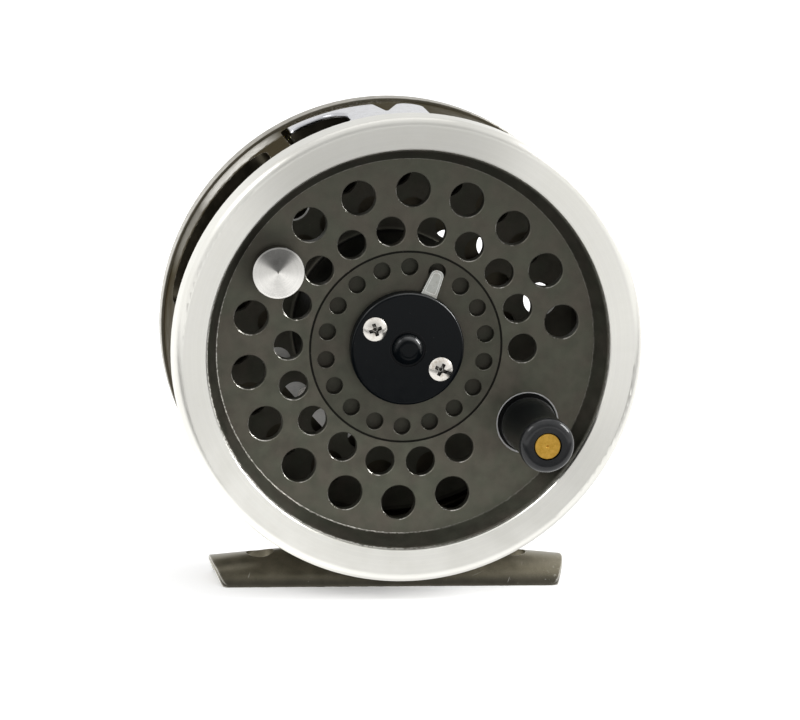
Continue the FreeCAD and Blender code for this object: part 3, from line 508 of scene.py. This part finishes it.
def plating_material(name, base, roughness, stain, speckle, wear=0.0, edge_tone=DULLED,
                     shade_from=None, recess=0.0):
    """Bright plating with stains and pits.

    wear is how strongly edges take edge_tone, recess how black the painted shade in hollows is.
    Painted shade darkens the plating over twice the set half angle, counted from the start angle
    it is given.
    """
    s = Shader(name)
    cloud = s.noise(0.7, 4.0, 0.65)
    pits = s.product(s.band(s.noise(4.2, 3.0, 0.7), 0.64, 0.72), speckle)
    colour = s.mix(s.product(s.band(cloud, 0.52, 0.68), stain), base, STAIN)
    colour = s.mix(pits, colour, PIT)
    tint = WHITE
    if wear:
        edge = s.broken(s.edges(0.3), 0.85, 2.5)
        colour = s.mix(s.math("MULTIPLY", edge, wear), colour, edge_tone)
    # painted shade: the plating is darkened over a span of angles
    if shade_from:
        offset, _ = s.about(0, 0)
        past = s.band(s.facing(shade_from + SHADE_HALF, offset),
                      math.cos(math.radians(SHADE_HALF + 0.3)),
                      math.cos(math.radians(SHADE_HALF - 0.3)))
        colour = s.mix(past, colour, SHADED_BAR)
        tint = s.mix(past, tint, SHADED_BAR_TINT)
    # painted shade: hollows darkened from ambient occlusion
    if recess:
        recess_shade = s.math("MULTIPLY", s.sheltered(1.0, 0.45, 0.93), recess)
        colour = s.mix(recess_shade, colour, RECESS_SHADE)
    rough = s.math("ADD", s.spread(cloud, roughness - 0.05, roughness + 0.06),
                   s.math("MULTIPLY", pits, 0.25))
    return s.surface(base_color=colour, metallic=1.0, roughness=rough, specular_tint=tint,
                     normal=s.bump(s.noise(2.5, 3.0, 0.6), 0.0015))


LIGHT_FROM = 97              # angle of the painted reflection on turned parts


def turned_material(name, node, base, roughness, anisotropy, rings_per_mm, ring_depth,
                    bottom=1.0, top=1.0):
    """Metal turned about the middle of a node, with a painted reflection set by bottom and top,
    lighter or darker from bottom to top.
    """
    middle = middle_of(node)
    s = Shader(name)
    offset, radius = s.about(middle.x, middle.z)
    rings = s.noise(rings_per_mm, 3.0, 0.7, s.combine(radius, 0.0, 0.0))
    cloud = s.noise(0.6, 4.0, 0.6)
    colour = s.shade(base, s.spread(rings, 0.95, 1.03))
    colour = s.shade(colour, s.spread(cloud, 0.92, 1.04))
    # painted reflection: lighter towards the bottom, darker towards the top
    upward = s.facing(LIGHT_FROM, offset)
    colour = s.shade(colour, s.band(upward, -0.9, 0.2, bottom, 1.0))
    colour = s.shade(colour, s.band(upward, 0.45, 0.85, 1.0, top))
    return s.surface(base_color=colour, metallic=1.0, anisotropic=anisotropy,
                     roughness=s.spread(cloud, roughness - 0.03, roughness + 0.04),
                     anisotropic_rotation=ACROSS_THE_MARKS, tangent=s.lathe_tangent(offset),
                     normal=s.bump(rings, ring_depth))


BRASSES = ((0.52, 0.29, 0.038, 1), (0.66, 0.40, 0.075, 1))
RUBBED_STEEL = (0.75, 0.74, 0.72, 1)


def brass_material():
    """Dull brass with fine marks and a little tarnish."""
    s = Shader("dull_brass")
    cloud = s.noise(1.3, 4.0, 0.65)
    grain = s.noise(8.0, 3.0, 0.7)
    colour = s.mix(s.spread(cloud, 0, 1), *BRASSES)
    colour = s.shade(colour, s.spread(grain, 0.82, 1.12))
    return s.surface(base_color=colour, metallic=0.85, roughness=s.spread(cloud, 0.40, 0.54),
                     normal=s.bump(grain, 0.004))


def steel_material(name, base, roughness):
    """Plain steel with a fine drawn grain."""
    s = Shader(name)
    grain = s.noise(1.6, 4.0, 0.65, s.vector("MULTIPLY", s.place, (1, 1, 12)))
    cloud = s.noise(0.5, 3.0, 0.6)
    colour = s.shade(base, s.spread(grain, 0.85, 1.08))
    worn = s.broken(s.edges(0.15), 0.7, 2.0)
    colour = s.mix(s.math("MULTIPLY", worn, 0.5), colour, RUBBED_STEEL)
    return s.surface(base_color=colour, metallic=1.0,
                     roughness=s.spread(cloud, roughness - 0.05, roughness + 0.06),
                     normal=s.bump(grain, 0.002))


def knob_material():
    """The handle's moulding, glossy round its front edge."""
    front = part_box("handle_knob")[0].y / MM
    return moulding_material("knob_moulding", (front + 0.9, front + 1.8))


def guard_material():
    """Plating of the line guard, with painted shade over its left bar."""
    return plating_material("guard_plating", base=(0.48, 0.485, 0.505, 1), roughness=0.20,
                            stain=0.12, speckle=0.4, wear=0.12, shade_from=118.4)


def latch_material():
    """Plating of the latch tongue, polished along its edges."""
    return plating_material("latch_plating", base=(0.38, 0.385, 0.36, 1), roughness=0.30,
                            stain=0.3, speckle=0.6, wear=0.8, edge_tone=POLISHED)


def nickel_material():
    """Nickel of the small screws, with painted shade in their slots."""
    return plating_material("nickel_finish", base=(0.74, 0.71, 0.66, 1), roughness=0.24,
                            stain=0.5, speckle=0.5, recess=0.97)


def weight_material():
    """Bright dished counterweight, with a painted dark reflection of what is above."""
    return turned_material("turned_weight", "counterweight", base=(0.54, 0.53, 0.505, 1),
                           roughness=0.19, anisotropy=0.5, rings_per_mm=3.0,
                           ring_depth=0.0006, bottom=1.6, top=0.42)


def gear_material():
    """Machined brass of the gear, bushes and washer."""
    return turned_material("machined_brass", "click_gear", base=(0.66, 0.49, 0.22, 1),
                           roughness=0.33, anisotropy=0.4, rings_per_mm=6.0, ring_depth=0.002)


def dress():
    """Gives every CAD node its material."""
    moulding = moulding_material("black_moulding")
    nickel = nickel_material()
    steel = steel_material("steel_finish", (0.52, 0.52, 0.51, 1), 0.34)
    spring = steel_material("spring_finish", (0.33, 0.33, 0.35, 1), 0.3)
    gear_brass = gear_material()
    looks = {
        "spool": spool_material(),
        "frame_cage": cage_material(),
        "reel_foot": foot_material(),
        "hub_cover": moulding,
        "handle_knob": knob_material(),
        "drag_knob": moulding,
        "line_guard": guard_material(),
        "latch_lever": latch_material(),
        "counterweight": weight_material(),
        "handle_pin": brass_material(),
        "check_plate": steel_material("stamped_plate", (0.66, 0.65, 0.62, 1), 0.38),
        "click_gear": gear_brass,
        "spool_bushes": gear_brass,
        "thrust_washer": gear_brass,
        "pawl_spring": spring,
        "latch_spring": spring,
        "spindle_circlip": spring,
        "hub_cover_screws": nickel,
        "line_guard_screws": nickel,
        "check_plate_screws": nickel,
        "spindle_nut": nickel,
        "drag_knob_screw": nickel,
    }
    for name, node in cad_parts.items():
        look = looks.get(name, steel)
        for slot in node.material_slots:
            slot.material = look


# ---------------------------------------------------------------- studio

FLOOR_HALF = 6.0             # half the floor's side
FLOOR_TONE = 0.8             # its paint
FLOOR_GLOW = 0.30            # light added to the floor seen by the camera
FLOOR_LIT = 1.22             # how bright the floor looks in reflections
SHADED_STRIP = 0.22          # and how bright where the front of the tent shades it
STRIP_NEAR, STRIP_FAR = -75.0, -176.0    # y range of that shade, in millimetres
WORLD_FRONT, WORLD_SIDE, WORLD_BACK = 0.74, 1.35, 1.35


def stage_floor():
    """Large pale floor under the foot, shaded along a strip in front, as seen in reflections."""
    height = cad_box[0].z
    mesh = bpy.data.meshes.new("floor")
    corners = [(x * FLOOR_HALF, y * FLOOR_HALF, height)
               for x, y in ((-1, -1), (1, -1), (1, 1), (-1, 1))]
    mesh.from_pydata(corners, [], [(0, 1, 2, 3)])
    floor = bpy.data.objects.new("floor", mesh)
    bpy.context.scene.collection.objects.link(floor)

    s = Shader("floor_paint")
    seen = s.add("ShaderNodeLightPath").outputs["Is Camera Ray"]
    strip = s.product(s.band(s.y, STRIP_NEAR + 25, STRIP_NEAR - 15),
                      s.band(s.y, STRIP_FAR - 15, STRIP_FAR + 10))
    mirrored = s.mix_value(strip, FLOOR_LIT, SHADED_STRIP)
    tone = s.product(s.spread(s.noise(0.004, 2.0, 0.5), FLOOR_TONE, FLOOR_TONE + 0.02), seen)
    material = s.surface(base_color=s.combine(tone, tone, tone), roughness=0.9,
                         specular_ior_level=0.0, emission_color=WHITE,
                         emission_strength=s.mix_value(seen, mirrored, FLOOR_GLOW))
    mesh.materials.append(material)


def area_light(name, place, size, power):
    """Softbox aimed at the reel."""
    light = bpy.data.lights.new(name, "AREA")
    light.shape = "RECTANGLE"
    light.size, light.size_y = size
    light.energy = power
    lamp = bpy.data.objects.new(name, light)
    bpy.context.scene.collection.objects.link(lamp)
    lamp.location = place
    lamp.rotation_mode = "QUATERNION"
    lamp.rotation_quaternion = Vector(place).to_track_quat("Z", "Y")
    lamp.visible_camera = False


def studio_world():
    """Pale surroundings, brighter behind and at the sides than in front."""
    world = bpy.data.worlds.new("studio")
    bpy.context.scene.world = world
    world.use_nodes = True
    tree = world.node_tree
    tree.nodes.clear()

    def add(kind, **settings):
        node = tree.nodes.new(kind)
        for key, value in settings.items():
            setattr(node, key, value)
        return node

    def ramp(source, low, high, out_low, out_high):
        node = add("ShaderNodeMapRange", interpolation_type="SMOOTHSTEP")
        tree.links.new(source, node.inputs["Value"])
        for key, value in (("From Min", low), ("From Max", high)):
            node.inputs[key].default_value = value
        for key, value in (("To Min", out_low), ("To Max", out_high)):
            if isinstance(value, float):
                node.inputs[key].default_value = value
            else:
                tree.links.new(value, node.inputs[key])
        return node.outputs["Result"]

    split = add("ShaderNodeSeparateXYZ")
    tree.links.new(add("ShaderNodeTexCoord").outputs["Generated"], split.inputs[0])
    front = ramp(split.outputs["Y"], -0.98, -0.6, WORLD_FRONT, WORLD_SIDE)
    around = ramp(split.outputs["Y"], 0.0, 0.6, front, WORLD_BACK)
    choose = add("ShaderNodeMix", data_type="FLOAT")
    tree.links.new(add("ShaderNodeLightPath").outputs["Is Camera Ray"], choose.inputs[0])
    tree.links.new(around, choose.inputs[2])
    choose.inputs[3].default_value = 1.0
    background = add("ShaderNodeBackground")
    tree.links.new(choose.outputs[0], background.inputs["Strength"])
    output = add("ShaderNodeOutputWorld")
    tree.links.new(background.outputs[0], output.inputs["Surface"])


def lights():
    """Three weak softboxes, for the highlights."""
    area_light("right_softbox", (0.95, -0.05, 0.55), (0.5, 0.5), 10.0)
    area_light("left_softbox", (-0.80, -0.31, 0.77), (0.4, 0.4), 2.0)
    area_light("top_softbox", (0.0, 0.25, 1.1), (0.8, 0.5), 0.8)


# ---------------------------------------------------------------- camera

AZIMUTH, ELEVATION, ROLL = -10.09, 11.77, 2.1    # where the camera stands and how it tips
DISTANCE = 1.0049            # from the origin
FOCAL_LENGTH, SENSOR = 248.8, 36.0               # millimetres
SHIFT = (-0.00754, -0.01636)                     # of the picture, in picture widths


def camera():
    """Long lens, a little to the left and above, slightly rolled."""
    azimuth, elevation, roll = (math.radians(a) for a in (AZIMUTH, ELEVATION, ROLL))
    back = Vector((math.sin(azimuth) * math.cos(elevation),
                   -math.cos(azimuth) * math.cos(elevation), math.sin(elevation)))
    right = Vector((math.cos(azimuth), math.sin(azimuth), 0))
    up = back.cross(right)
    across = right * math.cos(roll) + up * math.sin(roll)
    upward = up * math.cos(roll) - right * math.sin(roll)
    data = bpy.data.cameras.new("camera")
    data.sensor_width = SENSOR
    data.lens = FOCAL_LENGTH
    data.shift_x, data.shift_y = SHIFT
    data.clip_start, data.clip_end = 0.05, 50
    eye = bpy.data.objects.new("camera", data)
    bpy.context.scene.collection.objects.link(eye)
    turn = Matrix((across, upward, back)).transposed().to_4x4()
    eye.matrix_world = Matrix.Translation(back * DISTANCE) @ turn
    bpy.context.scene.camera = eye


dress()
stage_floor()
studio_world()
lights()
camera()
scene = bpy.context.scene
scene.view_settings.view_transform = "Standard"
scene.cycles.use_denoising = True
